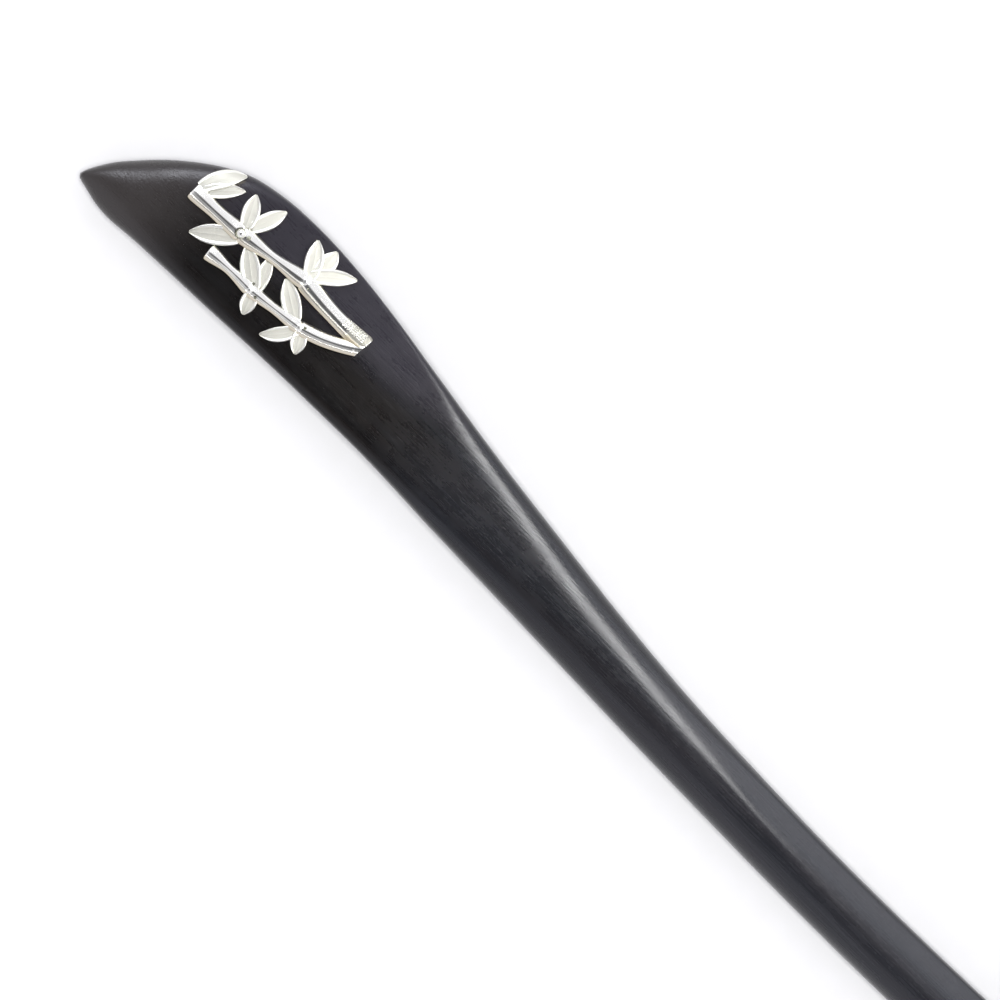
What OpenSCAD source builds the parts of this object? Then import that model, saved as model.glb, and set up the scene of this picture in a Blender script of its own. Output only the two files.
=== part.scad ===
// Hair stick: one length of ebony, bowed in plan, that runs from a broad beaked head through a long
// neck to an even shaft and a blunt point, with a cast silver bamboo spray seated on the head.
// The face is crowned and the edges are rounded. The back is planed flat, and the stick lies on it.
// The spray follows the crown of the head and stands in two blind holes on short posts.
// X runs from the beak to the point, Y to the side that the beak curls towards, Z is up. The origin
// is on the surface below the middle of the stick's box. All sizes are millimetres.

/* [Stick] */
// Whole length, from the beak to the point
stick_l = 178; // [160:1:220]
// From the beak to the widest place of the head
beak_l = 20; // [14:0.5:26]
// From the widest place of the head to where the shaft runs even
neck_l = 80; // [50:1:95]
// Length over which the shaft tapers to its point
taper_l = 32; // [16:1:38]
// How far the middle of the head stands to the side of the beak
sway = 6.5; // [2:0.1:9]

/* [Sections of the wood] */
// Width of the head at its widest place
head_w = 13.5; // [10:0.1:20]
// Thickness of the head
head_t = 6.2; // [5:0.1:9]
// Squareness of the head's section, where 2 is an ellipse
head_square = 4; // [2.5:0.1:6]
// Width of the shaft
shaft_w = 6.8; // [5:0.1:9]
// Thickness of the shaft
shaft_t = 6.4; // [4:0.1:9]
// Squareness of the shaft's section, where 2 is an ellipse
shaft_square = 2.3; // [2:0.1:4]
// Thickness of the blunt point, both ways
point_d = 2.6; // [1.5:0.1:3.8]
// Depth of the flat planed along the back
back_flat = 0.25; // [0.1:0.05:0.5]

/* [Spray] */
// Length of the spray along the stick
spray_l = 23; // [18:0.5:28]
// Width of the broadest leaf
leaf_w = 1.9; // [1.4:0.1:2.4]
// Height of the leaves' rims above the wood
leaf_h = 0.8; // [0.5:0.05:1.2]
// Width of the main stem where it flares at a joint
stem_w = 1.5; // [1.2:0.1:1.8]
// Height of the stems above the wood
stem_h = 0.95; // [0.6:0.05:1.3]
// Diameter of the bead in the upper joint
bead_d = 0.9; // [0.6:0.1:1.2]
// Diameter of the posts on the spray's back
post_d = 1; // [0.7:0.1:1.2]
// How far each post reaches into the wood
post_l = 2.4; // [1.5:0.1:3]

/* [Fits] */
// Gap between the spray and the wood that it follows
seat_gap = 0.05; // [0.02:0.01:0.1]
// Clearance round each post, and under its end
post_gap = 0.05; // [0.02:0.01:0.1]

/* [Hidden] */

ebony = [0.15, 0.14, 0.14];
silver = [0.88, 0.88, 0.86];

shaft_l = stick_l - beak_l - neck_l;
taper_from = stick_l - taper_l;
point_r = point_d / 2;

// How finely the wood is drawn: points round a section, stations from one row of the tables to the
// next, and stations along the taper
section_points = 28;
steps_per_row = 2;
taper_steps = 8;
// Width of the small flat that closes the point, as a share of the point
tip_share = 0.12;

// Sections of the wood. Each row says how far along its own stretch it stands, how far the middle
// lies to the side as a share of sway, how far the section has turned from the head's sizes into
// the shaft's, and its width and thickness as shares of those sizes.
run = 0;
bow = 1;
blend = 2;
wide = 3;
deep = 4;
beak_rows = [
    [0.000, 0.000, 0, 0.05, 0.40],
    [0.025, 0.090, 0, 0.12, 0.60],
    [0.075, 0.200, 0, 0.26, 0.74],
    [0.150, 0.320, 0, 0.42, 0.84],
    [0.250, 0.470, 0, 0.59, 0.90],
    [0.400, 0.670, 0, 0.77, 0.95],
    [0.600, 0.865, 0, 0.93, 0.98],
    [0.800, 0.950, 0, 0.99, 1.00],
];
neck_rows = [
    [0.000, 0.985, 0.00, 1, 1],
    [0.075, 0.990, 0.07, 1, 1],
    [0.150, 0.950, 0.19, 1, 1],
    [0.250, 0.860, 0.39, 1, 1],
    [0.375, 0.715, 0.56, 1, 1],
    [0.500, 0.595, 0.71, 1, 1],
    [0.625, 0.480, 0.85, 1, 1],
    [0.750, 0.390, 0.94, 1, 1],
    [0.875, 0.340, 0.98, 1, 1],
];
shaft_rows = [
    [0.00, 0.310, 1, 1, 1],
    [0.13, 0.315, 1, 1, 1],
    [0.26, 0.350, 1, 1, 1],
    [0.45, 0.450, 1, 1, 1],
    [0.65, 0.590, 1, 1, 1],
    [0.83, 0.750, 1, 1, 1],
    [1.00, 0.920, 1, 1, 1],
];

function placed(rows, from, length) =
    [for (r = rows) [from + r[run] * length, r[bow], r[blend], r[wide], r[deep]]];

form = concat(
    placed(beak_rows, 0, beak_l),
    placed(neck_rows, beak_l, neck_l),
    placed(shaft_rows, beak_l + neck_l, shaft_l)
);

// A smooth line through one column of the form, at any place along the stick
function step_of(i) = form[i + 1][run] - form[i][run];
function rise_of(i, column) = (form[i + 1][column] - form[i][column]) / step_of(i);
function slope_of(i, column) =
    i == 0 ? rise_of(0, column)
    : i == len(form) - 1 ? rise_of(i - 1, column)
    : (rise_of(i - 1, column) * step_of(i) + rise_of(i, column) * step_of(i - 1))
        / (step_of(i - 1) + step_of(i));
function row_before(x) = max([for (i = [0 : len(form) - 2]) if (i == 0 || form[i][run] <= x) i]);
function at(x, column) =
    let (i = row_before(x), g = step_of(i), t = (x - form[i][run]) / g)
    form[i][column] * (2 * t ^ 3 - 3 * t ^ 2 + 1)
    + form[i + 1][column] * (3 * t ^ 2 - 2 * t ^ 3)
    + g * slope_of(i, column) * (t ^ 3 - 2 * t ^ 2 + t)
    + g * slope_of(i + 1, column) * (t ^ 3 - t ^ 2);

function mix(a, b, share) = a + (b - a) * share;
function ease(t) = t * t * (3 - 2 * t);

// The taper draws every section in to the point, and a quarter circle rounds the very end
taper_curve = 1.6;
function tapered(x, full) =
    x <= taper_from ? full : mix(full, point_d, ((x - taper_from) / taper_l) ^ taper_curve);
function rounded(x) =
    let (s = (x - stick_l + point_r) / point_r)
    s <= 0 ? 1 : max(tip_share, sqrt(max(0, 1 - s * s)));

// Half width, half thickness, squareness and middle of the section at x
function half_w(x) = rounded(x) * tapered(x, mix(head_w, shaft_w, at(x, blend)) * at(x, wide)) / 2;
function half_t(x) = rounded(x) * tapered(x, mix(head_t, shaft_t, at(x, blend)) * at(x, deep)) / 2;
function square_of(x) = mix(head_square, shaft_square, at(x, blend));
function middle_y(x) = sway * at(x, bow);
function middle_z(x) = mix(head_t, shaft_t, at(x, blend)) / 2 - back_flat;

stations = concat(
    [for (i = [0 : len(form) - 2], k = [0 : steps_per_row - 1])
        let (x = form[i][run] + step_of(i) * k / steps_per_row) if (x < taper_from) x],
    [for (k = [0 : taper_steps - 1]) taper_from + (taper_l - point_r) * k / taper_steps],
    [for (a = [0, 25, 50, 70, 90]) stick_l - point_r + point_r * sin(a)]
);

// The middle of the stick's box, which the finished pieces are centred on
low_y = min([for (x = stations) middle_y(x) - half_w(x)]);
high_y = max([for (x = stations) middle_y(x) + half_w(x)]);
box_middle = [stick_l / 2, (low_y + high_y) / 2, 0];

// One closed section of the wood at x, grown all round by a margin, with the flat of the back
function power(v, p) = sign(v) * abs(v) ^ p;
function section(x, margin) =
    [for (k = [0 : section_points - 1])
        let (
            a = 360 * k / section_points,
            p = 2 / square_of(x),
            y = middle_y(x) + (half_w(x) + margin) * power(cos(a), p),
            z = middle_z(x) + (half_t(x) + margin) * power(sin(a), p)
        )
        [x, y, max(z, -margin)]];

// Triangles that close a sweep of equal rings, first and last ring included
function sweep_faces(rings, points) = concat(
    [[for (k = [0 : points - 1]) k]],
    [for (i = [0 : rings - 2], k = [0 : points - 1], half = [0, 1])
        let (
            near = i * points + k,
            next = i * points + (k + 1) % points
        )
        half == 0 ? [near, near + points, next + points] : [near, next + points, next]],
    [[for (k = [points - 1 : -1 : 0]) (rings - 1) * points + k]]
);

module sweep(rings) {
    points = [for (ring = rings) each ring];
    polyhedron(points, sweep_faces(len(rings), len(rings[0])));
}

module wood(margin) {
    sweep([for (x = stations) section(x, margin)]);
}

// The spray is drawn on the crowned face. A place on it is given as its distance along the spray,
// as a share of spray_l, and across the head, from -1 at the lower edge to 1 at the upper edge. The
// spray itself starts part of the way along the beak.
along = 0;
across = 1;
spray_start = 0.46;
function on_head(place) =
    let (x = spray_start * beak_l + place[along] * spray_l)
    [x, middle_y(x) + place[across] * half_w(x)];

// Height of the wood's face under a point of the plan, held inside the edge
edge_share = 0.98;
function wood_top(p) =
    let (
        x = p[0],
        s = min(edge_share, abs(p[1] - middle_y(x)) / half_w(x)),
        n = square_of(x)
    )
    middle_z(x) + half_t(x) * (1 - s ^ n) ^ (1 / n);

// Joints and ends of the stems
top_end = [0.010, 0.38];
joint_a = [0.286, 0.17];
joint_b = [0.625, 0.32];
foot_end = [0.995, 0.33];
side_end = [0.240, -0.36];
joint_c = [0.482, -0.37];
joint_d = [0.750, -0.27];
foot_side = [0.990, 0.22];

// Stems: where each starts and ends, how far its middle bows to the left of the way it runs as a
// share of its length, and its width at the start, at the waist and at the end as shares of stem_w
from = 0;
to = 1;
bend = 2;
start_w = 3;
waist_w = 4;
end_w = 5;
stem_rows = [
    [top_end, joint_a, -0.03, 1.15, 0.80, 1.00],
    [joint_a, joint_b, -0.02, 1.00, 0.50, 1.00],
    [joint_b, foot_end, -0.03, 1.10, 0.87, 1.10],
    [side_end, joint_c, 0.02, 0.95, 0.45, 0.80],
    [joint_c, joint_d, 0.00, 0.83, 0.53, 0.80],
    [joint_d, foot_side, -0.07, 0.70, 0.80, 0.90],
];

// Leaves: root, tip, bow to the left of the way it points as a share of its length, and width as a
// share of leaf_w
leaf_wide = 3;
leaf_rows = [
    [[0.005, 0.46], [0.130, 0.94], 0.07, 1.00],
    [[0.030, 0.42], [0.163, 0.74], 0.02, 0.66],
    [[0.280, 0.28], [0.212, 0.78], -0.01, 0.96],
    [[0.290, 0.26], [0.359, 0.84], -0.04, 0.80],
    [[0.292, 0.08], [0.121, -0.30], 0.02, 1.04],
    [[0.632, 0.38], [0.541, 0.85], -0.02, 0.96],
    [[0.636, 0.42], [0.635, 0.94], -0.04, 0.80],
    [[0.630, 0.43], [0.782, 0.88], 0.01, 0.76],
    [[0.492, -0.35], [0.332, 0.08], 0.00, 0.98],
    [[0.505, -0.34], [0.455, 0.19], -0.02, 0.66],
    [[0.495, -0.36], [0.535, -0.70], 0.00, 0.66],
    [[0.725, -0.26], [0.572, 0.14], 0.00, 0.86],
    [[0.756, -0.30], [0.648, -0.75], 0.04, 0.70],
    [[0.765, -0.27], [0.817, -0.60], 0.00, 0.66],
];

// Outline of a leaf: distance from root to tip, half width and height, as shares
leaf_run = 0;
leaf_half = 1;
leaf_high = 2;
leaf_form = [
    [0.00, 0.40, 0.95],
    [0.12, 0.70, 1.00],
    [0.30, 0.96, 1.00],
    [0.50, 1.00, 1.00],
    [0.68, 0.84, 0.95],
    [0.84, 0.52, 0.85],
    [0.95, 0.20, 0.70],
    [1.00, 0.05, 0.55],
];

// Section of a leaf, from its left edge over the rims, the dished sides and the midrib to its right
// edge: distance from the middle and height, as shares. The two rows below 0 are sunk in the wood.
leaf_off = 0;
leaf_up = 1;
leaf_section = [
    [1.00, 0.50],
    [0.84, 1.00],
    [0.58, 0.78],
    [0.00, 0.92],
    [-0.58, 0.78],
    [-0.84, 1.00],
    [-1.00, 0.50],
    [-1.00, -1.00],
    [1.00, -1.00],
];

// How far the spray is first drawn below the face of the wood, before the wood is cut from it
sink = 0.8;

function left_of(v) = [-v[1], v[0]] / norm(v);
function curve_point(a, b, bow, t) =
    mix(a, b, t) + left_of(b - a) * norm(b - a) * bow * 4 * t * (1 - t);

module leaf(row) {
    root = on_head(row[from]);
    tip = on_head(row[to]);
    side = left_of(tip - root);
    half = row[leaf_wide] * leaf_w / 2;
    sweep([for (r = leaf_form)
        let (middle = curve_point(root, tip, row[bend], r[leaf_run]))
        [for (s = leaf_section)
            let (
                p = middle + side * s[leaf_off] * half * r[leaf_half],
                up = s[leaf_up] < 0 ? -sink : s[leaf_up] * leaf_h * r[leaf_high]
            )
            [p[0], p[1], wood_top(p) + up]]]);
}

// A thin slice of stem that stands on the wood across the way the stem runs: upright sides under a
// half-round top
slice_t = 0.02;
upright_share = 0.35;
module stem_slice(p, heading, w) {
    side_h = stem_h * upright_share;
    top_h = stem_h - side_h;
    translate([p[0], p[1], wood_top(p) - sink])
        rotate([90, 0, heading + 90])
            linear_extrude(slice_t)
                polygon(concat(
                    [[w / 2, 0]],
                    [for (a = [0 : 30 : 180]) [w / 2 * cos(a), sink + side_h + top_h * sin(a)]],
                    [[-w / 2, 0]]
                ));
}

// Width of a stem at a share of its length: wide at both ends and slim at the waist
function stem_width(row, t) =
    stem_w * (t < 0.5
        ? mix(row[start_w], row[waist_w], ease(2 * t))
        : mix(row[waist_w], row[end_w], ease(2 * t - 1)));

stem_steps = 6;
module stem(row) {
    a = on_head(row[from]);
    b = on_head(row[to]);
    spots = [for (k = [0 : stem_steps]) curve_point(a, b, row[bend], k / stem_steps)];
    widths = [for (k = [0 : stem_steps]) stem_width(row, k / stem_steps)];
    headings = [for (k = [0 : stem_steps])
        let (v = spots[min(k + 1, stem_steps)] - spots[max(k - 1, 0)]) atan2(v[1], v[0])];
    for (k = [0 : stem_steps - 1])
        hull() {
            stem_slice(spots[k], headings[k], widths[k]);
            stem_slice(spots[k + 1], headings[k + 1], widths[k + 1]);
        }
}

// Low domes over the joints of the stems: place, and width as a share of stem_w
joint_wide = 1;
joint_rows = [
    [joint_a, 1.00],
    [joint_b, 1.15],
    [joint_c, 1.00],
    [joint_d, 1.00],
];
// Height of a dome as a share of stem_h
joint_high = 1.1;
module joint(row) {
    p = on_head(row[from]);
    size = row[joint_wide] * stem_w;
    translate([p[0], p[1], wood_top(p)])
        scale([size, size, 2 * stem_h * joint_high])
            sphere(d = 1, $fn = 16);
}

module bead() {
    p = on_head(joint_a);
    translate([p[0], p[1], wood_top(p) + stem_h])
        sphere(d = bead_d, $fn = 16);
}

// The posts stand under the joints where the metal is broadest
post_places = [on_head(joint_a), on_head(joint_d)];
post_fn = 32;

module posts() {
    for (p = post_places)
        translate([p[0], p[1], wood_top(p) - post_l])
            cylinder(h = post_l + stem_h / 2, d = post_d, $fn = post_fn);
}

module post_holes() {
    for (p = post_places)
        translate([p[0], p[1], wood_top(p) - post_l - post_gap])
            cylinder(h = post_l + post_gap + sink, d = post_d + 2 * post_gap, $fn = post_fn);
}

module stick() {
    color(ebony)
        translate(-box_middle)
            difference() {
                wood(0);
                post_holes();
            }
}

module bamboo_spray() {
    color(silver)
        translate(-box_middle) {
            difference() {
                union() {
                    for (row = stem_rows) stem(row);
                    for (row = leaf_rows) leaf(row);
                    for (row = joint_rows) joint(row);
                    bead();
                }
                wood(seat_gap);
            }
            posts();
        }
}

stick();
bamboo_spray();
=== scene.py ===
import math
import bpy
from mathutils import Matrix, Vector


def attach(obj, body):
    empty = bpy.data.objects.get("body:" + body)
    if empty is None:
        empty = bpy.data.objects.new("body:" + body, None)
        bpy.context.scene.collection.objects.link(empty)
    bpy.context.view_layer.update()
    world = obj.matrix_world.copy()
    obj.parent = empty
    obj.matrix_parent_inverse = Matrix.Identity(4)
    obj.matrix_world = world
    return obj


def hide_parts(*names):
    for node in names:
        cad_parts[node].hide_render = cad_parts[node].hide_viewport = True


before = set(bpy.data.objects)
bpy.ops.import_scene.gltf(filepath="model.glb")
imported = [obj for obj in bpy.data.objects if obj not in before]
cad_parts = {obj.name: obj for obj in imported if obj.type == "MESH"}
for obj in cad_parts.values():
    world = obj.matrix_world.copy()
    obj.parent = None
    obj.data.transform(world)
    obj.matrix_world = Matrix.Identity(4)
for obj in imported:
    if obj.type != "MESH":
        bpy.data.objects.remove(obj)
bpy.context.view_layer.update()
mm = 0.001
print("hair stick: frame loaded")


# Adds a node with its settings, and sets or links its inputs
def addNode(tree, kind, inputs={}, **settings):
    node = tree.nodes.new(kind)
    for name, value in settings.items():
        setattr(node, name, value)
    for key, value in inputs.items():
        if isinstance(value, bpy.types.NodeSocket):
            tree.links.new(value, node.inputs[key])
        else:
            node.inputs[key].default_value = value
    return node


# sRGB hex to the linear colour that a socket takes
def linear(code):
    parts = [int(code[i:i + 2], 16) / 255 for i in (1, 3, 5)]
    return [c / 12.92 if c <= 0.04045 else ((c + 0.055) / 1.055) ** 2.4 for c in parts] + [1]


# A geometry tree with its named inputs
def newTree(name, inputs):
    tree = bpy.data.node_groups.new(name, "GeometryNodeTree")
    for label, socket in inputs.items():
        tree.interface.new_socket(label, in_out="INPUT", socket_type="NodeSocket" + socket)
    tree.interface.new_socket("Result", in_out="OUTPUT", socket_type="NodeSocketGeometry")
    return tree, tree.nodes.new("NodeGroupInput").outputs


# Runs a tree on a source object once and returns the result as a plain mesh object
def runTree(source, tree, values, name):
    modifier = source.modifiers.new(tree.name, "NODES")
    modifier.node_group = tree
    for item in tree.interface.items_tree:
        if item.in_out == "INPUT" and item.name in values:
            modifier[item.identifier] = values[item.name]
    graph = bpy.context.evaluated_depsgraph_get()
    mesh = bpy.data.meshes.new_from_object(
        source.evaluated_get(graph), preserve_all_data_layers=True, depsgraph=graph)
    source.modifiers.remove(modifier)
    mesh.name = name
    made = bpy.data.objects.new(name, mesh)
    bpy.context.scene.collection.objects.link(made)
    return made


# A helper mesh of points and edges or faces, with one number for each point under each name
def helper(name, points, edges=(), faces=(), numbers={}):
    mesh = bpy.data.meshes.new(name)
    mesh.from_pydata(points, edges, faces)
    for label, values in numbers.items():
        mesh.attributes.new(label, "FLOAT", "POINT").data.foreach_set("value", values)
    made = bpy.data.objects.new(name, mesh)
    bpy.context.scene.collection.objects.link(made)
    return made


def discard(*pieces):
    for piece in pieces:
        mesh = piece.data
        bpy.data.objects.remove(piece)
        bpy.data.meshes.remove(mesh)


# The carved stick. Sizes are millimetres from the beak, and the rows are shares of them.
stick = {
    "length": 178, "beak": 20, "neck": 80, "taper": 32, "taperCurve": 1.6,
    "sway": 6.5,
    "headWidth": 13.5, "headDepth": 6.2,
    "shaftWidth": 6.8, "shaftDepth": 6.4,
    "pointWidth": 2.6,
    "backFlat": 0.25,
    "backEase": 0.08,        # how softly the sides turn into the flat back
    "beakRound": 0.3,        # rounding of the very tip of the beak
    "stationStep": 0.45,
    "ringPoints": 128,
    "weld": 0.0005,          # points of a section nearer than this become one
}

# [run, bow, blend from head to shaft, wide, deep]
beakRows = [
    [0, .03, 0, .04, .34], [.025, .09, 0, .13, .46], [.075, .20, 0, .27, .58],
    [.15, .31, 0, .43, .69], [.25, .46, 0, .60, .79], [.40, .67, 0, .77, .88],
    [.60, .865, 0, .93, .95], [.80, .95, 0, .99, .99],
]
neckRows = [
    [0, .985, 0, 1, 1], [.075, .99, .07, 1, 1], [.15, .95, .19, 1, 1], [.25, .86, .39, 1, 1],
    [.375, .715, .56, 1, 1], [.5, .595, .71, 1, 1], [.625, .48, .85, 1, 1], [.75, .39, .94, 1, 1],
    [.875, .34, .98, 1, 1],
]
shaftRows = [
    [0, .31, 1, 1, 1], [.13, .315, 1, 1, 1], [.26, .35, 1, 1, 1], [.45, .45, 1, 1, 1],
    [.65, .59, 1, 1, 1], [.83, .75, 1, 1, 1], [1, .92, 1, 1, 1],
]

# [millimetres from the beak, squareness of the section, and of the flat planed over its upper
# side the fall across it, height at its middle, softness of its ridge and crown]
planeLabels = ("squareness", "fall", "flat", "softness", "crown")
planeRows = [
    [0, 2.0, .10, 1.30, .10, 0], [4, 2.05, .12, 1.25, .10, 0], [8, 3.2, .14, 1.20, .10, 0],
    [12, 4.4, .18, 1.10, .08, 0], [20, 7.0, .24, 1.03, .06, 0], [32, 8.0, .22, 1.02, .06, 0],
    [40, 7.2, .16, 1.05, .06, 0], [46, 5.0, .20, 1.15, .06, 0], [52, 3.9, .36, 1.27, .08, 0],
    [58, 3.1, .46, 1.33, .10, 0], [64, 2.6, .56, 1.36, .15, 0], [72, 2.4, .61, 1.34, .20, 0],
    [80, 2.3, .61, 1.25, .20, 0], [86, 2.3, .58, 1.17, .14, .04], [92, 2.3, .53, 1.10, .08, .10],
    [100, 2.3, .47, 1.06, .12, .15], [146, 2.3, .47, 1.065, .12, .15],
    [178, 2.3, .47, 1.58, .12, .15],
]


def placedRows(rows, start, length):
    return [[start + row[0] * length] + row[1:] for row in rows]


shaftLength = stick["length"] - stick["beak"] - stick["neck"]
form = (placedRows(beakRows, 0, stick["beak"])
        + placedRows(neckRows, stick["beak"], stick["neck"])
        + placedRows(shaftRows, stick["beak"] + stick["neck"], shaftLength))


def mix(a, b, share):
    return a + (b - a) * share


def ease(t):
    return t * t * (3 - 2 * t)


# Slope of one column of a table at a row, weighted by the steps on both sides
def slopeOf(rows, i, column):
    def rise(k):
        return (rows[k + 1][column] - rows[k][column]) / (rows[k + 1][0] - rows[k][0])
    if i == 0 or i == len(rows) - 1:
        return rise(max(i - 1, 0))
    before, after = rows[i][0] - rows[i - 1][0], rows[i + 1][0] - rows[i][0]
    return (rise(i - 1) * after + rise(i) * before) / (before + after)


# One column of a table at x, on a smooth line through its rows
def columnAt(x, column, rows=form):
    i = max([k for k in range(len(rows) - 1) if rows[k][0] <= x] or [0])
    gap = rows[i + 1][0] - rows[i][0]
    t = (x - rows[i][0]) / gap
    return (rows[i][column] * (2 * t**3 - 3 * t**2 + 1)
            + rows[i + 1][column] * (3 * t**2 - 2 * t**3)
            + gap * slopeOf(rows, i, column) * (t**3 - 2 * t**2 + t)
            + gap * slopeOf(rows, i + 1, column) * (t**3 - t**2))


# Middle, half sizes and flat of the stick's section at x, in millimetres
def sectionAt(x):
    blend = columnAt(x, 2)
    taperFrom = stick["length"] - stick["taper"]
    pointRadius, beakRound = stick["pointWidth"] / 2, stick["beakRound"]
    drawn = max(0, (x - taperFrom) / stick["taper"]) ** stick["taperCurve"]
    closing = max(0, (x - stick["length"] + pointRadius) / pointRadius)
    opening = max(0, (beakRound - x) / beakRound)
    rounded = math.sqrt(max(0, 1 - closing**2) * max(0, 1 - opening**2))
    halfWidth = mix(stick["headWidth"], stick["shaftWidth"], blend) * columnAt(x, 3)
    halfDepth = mix(stick["headDepth"], stick["shaftDepth"], blend) * columnAt(x, 4)
    return {
        "y": stick["sway"] * columnAt(x, 1),
        "z": mix(stick["headDepth"], stick["shaftDepth"], blend) / 2 - stick["backFlat"],
        "halfWidth": mix(halfWidth, stick["pointWidth"], drawn) / 2 * rounded,
        "halfDepth": mix(halfDepth, stick["pointWidth"], drawn) / 2 * rounded,
        **{label: columnAt(x, i + 1, planeRows) for i, label in enumerate(planeLabels)},
    }


# Even steps along the stick, closer where its two ends round off
def stationList():
    quarter = [math.radians(a) for a in range(0, 91, 10)]
    pointRadius = stick["pointWidth"] / 2
    start, end = stick["beakRound"], stick["length"] - pointRadius
    steps = round((end - start) / stick["stationStep"])
    return ([stick["beakRound"] * (1 - math.sin(a)) for a in reversed(quarter[1:])]
            + [mix(start, end, i / steps) for i in range(steps + 1)]
            + [end + pointRadius * math.sin(a) for a in quarter[1:]])


stations = stationList()
sections = [sectionAt(x) for x in stations]

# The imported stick's box is centred on sections at each row and halfway between rows
boxSections = [sectionAt(mix(form[i][0], form[i + 1][0], half)) for i in range(len(form) - 1)
               for half in (0, 0.5)]
boxLow = min(s["y"] - s["halfWidth"] for s in boxSections)
boxHigh = max(s["y"] + s["halfWidth"] for s in boxSections)
boxMiddle = Vector((stick["length"] / 2, (boxLow + boxHigh) / 2, 0))


# From millimetres along the stick to metres in the part's frame
def placed(x, y, z=0):
    return (Vector((x, y, z)) - boxMiddle) * mm


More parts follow.
